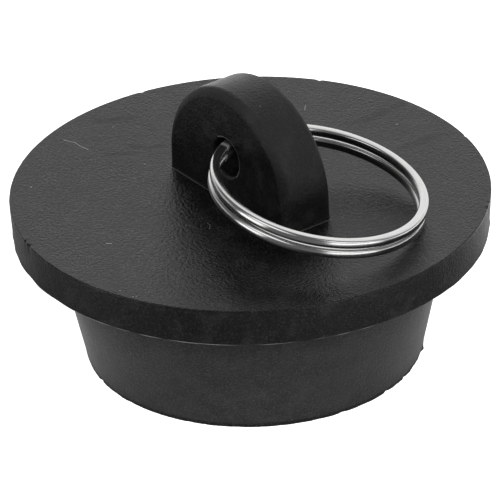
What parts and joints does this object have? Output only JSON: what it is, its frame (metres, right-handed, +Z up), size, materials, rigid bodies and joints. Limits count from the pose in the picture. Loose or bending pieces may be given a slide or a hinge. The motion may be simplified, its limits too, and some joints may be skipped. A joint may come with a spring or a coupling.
{
  "type": "drain stopper",
  "caption": "Black rubber drain stopper: a flat round flange over a tapered plug, with a holed D-shaped lug and a split pull ring that swings in it.",
  "frame": {"origin": "centre of the plug's lower end, on the surface that the stopper stands on", "axes": "+Z up along the plug's axis; Y along the hole in the lug; +X towards the end of the lug that the ring lies round"},
  "size_m": [0.0634, 0.0634, 0.0385],
  "materials": {
    "black_rubber": "satin moulded rubber",
    "plated_wire": "bright nickel plate"
  },
  "bodies": {
    "stopper": {"rubber_stopper": "black_rubber"},
    "ring": {"split_ring": "plated_wire"}
  },
  "joints": [
    {"name": "ring_swing", "type": "hinge", "parent": "stopper", "child": "ring", "pos_m": [0, 0, 0.0292], "axis": [0, -1, 0], "range_deg": [0, 196]}
  ]
}
